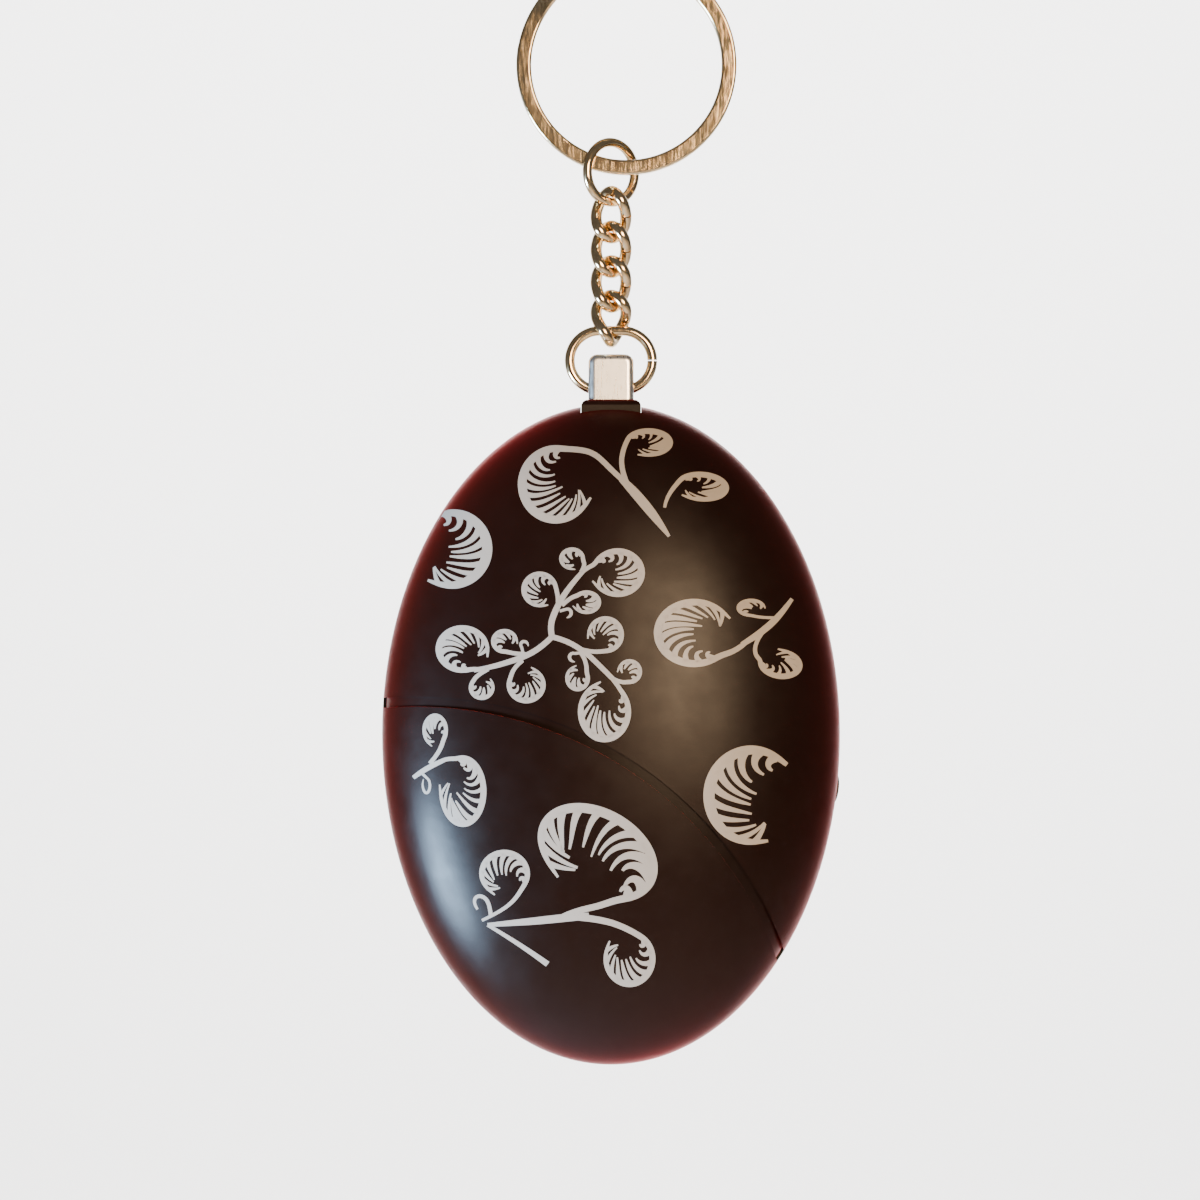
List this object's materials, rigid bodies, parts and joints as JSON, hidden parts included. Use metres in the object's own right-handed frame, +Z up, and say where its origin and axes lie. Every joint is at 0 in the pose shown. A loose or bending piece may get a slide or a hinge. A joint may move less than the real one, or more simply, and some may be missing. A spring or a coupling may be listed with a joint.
{
  "type": "personal alarm keychain",
  "caption": "Flat egg-shaped key-ring alarm with pull pin, siren and lamp, printed with pale scrollwork, hung from a split ring by a short chain.",
  "frame": {"origin": "the hang point: inside of the split ring, where it rests on a hook", "axes": "+Z up, along the chain and the long axis of the egg; -Y is the printed front; +X is the right of the front view"},
  "size_m": [0.0416, 0.02, 0.1008],
  "materials": {
    "gold_plated_steel": "polished, pale gold-tone plating",
    "bright_pin": "bright polished",
    "white_nylon": "natural white",
    "brown_shell": "satin, very dark red-brown, printed with off-white scrollwork",
    "dark_button": "fine matt",
    "clear_lens": "clear",
    "plated_screw": "zinc plated",
    "siren_brass": "satin",
    "siren_ceramic": "matt, silvered",
    "black_rubber": "matt",
    "black_plastic": "moulded",
    "board_green": "lacquered",
    "ferrite": "matt",
    "copper_winding": "enamelled copper",
    "capacitor_can": "satin",
    "spring_metal": "nickel plated",
    "ivory_plastic": "moulded",
    "red_plastic": "wire sheath",
    "cell_steel": "satin nickel"
  },
  "bodies": {
    "key_ring": {"key_ring": "gold_plated_steel"},
    "jump_ring": {"upper_jump_ring": "gold_plated_steel"},
    "link_1": {"chain_link_1": "gold_plated_steel"},
    "link_2": {"chain_link_2": "gold_plated_steel"},
    "link_3": {"chain_link_3": "gold_plated_steel"},
    "link_4": {"chain_link_4": "gold_plated_steel"},
    "lower_ring": {"lower_ring": "gold_plated_steel"},
    "pull_pin": {"pull_pin": "bright_pin", "pin_insulator": "white_nylon"},
    "egg": {"pin_socket": "brown_shell", "front_shell": "brown_shell", "rear_shell": "brown_shell", "lamp_lens": "clear_lens", "case_screw_1": "plated_screw", "case_screw_2": "plated_screw", "case_screw_3": "plated_screw", "board_screw_1": "plated_screw", "board_screw_2": "plated_screw", "piezo_plate": "siren_brass", "piezo_ceramic": "siren_ceramic", "siren_gasket": "black_rubber", "siren_retainer": "black_plastic", "circuit_board": "board_green", "coil_core": "ferrite", "coil_winding": "copper_winding", "capacitor": "capacitor_can", "driver_chip": "black_plastic", "power_transistor": "black_plastic", "resistor_1": "black_plastic", "resistor_2": "black_plastic", "resistor_3": "black_plastic", "contact_leaf_front": "spring_metal", "contact_leaf_rear": "spring_metal", "tact_switch": "black_plastic", "led_lamp": "clear_lens", "lamp_lead_1": "black_plastic", "lamp_lead_2": "red_plastic", "siren_lead_red": "red_plastic", "siren_lead_black": "black_plastic", "button_cell_1": "cell_steel", "button_cell_2": "cell_steel", "button_cell_3": "cell_steel", "battery_cradle": "black_plastic", "battery_contact": "spring_metal", "battery_spring": "spring_metal"},
    "battery_cover": {"battery_cover": "brown_shell"},
    "cover_screw": {"cover_screw": "plated_screw"},
    "light_button": {"light_button": "dark_button", "tact_plunger": "ivory_plastic"}
  },
  "joints": [
    {"name": "jump_ring_swing", "type": "hinge", "parent": "key_ring", "child": "jump_ring", "pos_m": [0, 0, -0.01776], "axis": [0.9887, 0, -0.1501], "range_deg": [-30, 30]},
    {"name": "chain_swing_1", "type": "hinge", "parent": "jump_ring", "child": "link_1", "pos_m": [0, 0, -0.021], "axis": [-0.788, -0.6157, 0], "range_deg": [-40, 40]},
    {"name": "chain_swing_2", "type": "hinge", "parent": "link_1", "child": "link_2", "pos_m": [0, 0, -0.02315], "axis": [0.6947, -0.7193, 0], "range_deg": [-25, 25]},
    {"name": "chain_swing_3", "type": "hinge", "parent": "link_2", "child": "link_3", "pos_m": [0, 0, -0.0274], "axis": [-0.7193, -0.6947, 0], "range_deg": [-25, 25]},
    {"name": "chain_swing_4", "type": "hinge", "parent": "link_3", "child": "link_4", "pos_m": [0, 0, -0.02945], "axis": [0.829, -0.5592, 0], "range_deg": [-25, 25]},
    {"name": "lower_ring_swing", "type": "hinge", "parent": "link_4", "child": "lower_ring", "pos_m": [0, 0, -0.03267], "axis": [-1, 0, 0], "range_deg": [-40, 40]},
    {"name": "pin_swing", "type": "hinge", "parent": "lower_ring", "child": "pull_pin", "pos_m": [0, 0, -0.03807], "axis": [1, 0, 0], "range_deg": [-75, 75]},
    {"name": "pin_pull", "type": "slide", "parent": "pull_pin", "child": "egg", "axis": [0, 0, -1], "range_m": [0, 0.012]},
    {"name": "cover_lift", "type": "slide", "parent": "egg", "child": "battery_cover", "axis": [0, -1, 0], "range_m": [0, 0.015]},
    {"name": "cover_screw_out", "type": "slide", "parent": "egg", "child": "cover_screw", "axis": [0, 1, 0], "range_m": [0, 0.009]},
    {"name": "button_press", "type": "slide", "parent": "egg", "child": "light_button", "axis": [-1, 0, 0], "range_m": [0, 0.0004], "stiffness_N_per_m": 3750, "springref_m": -0.0001}
  ]
}
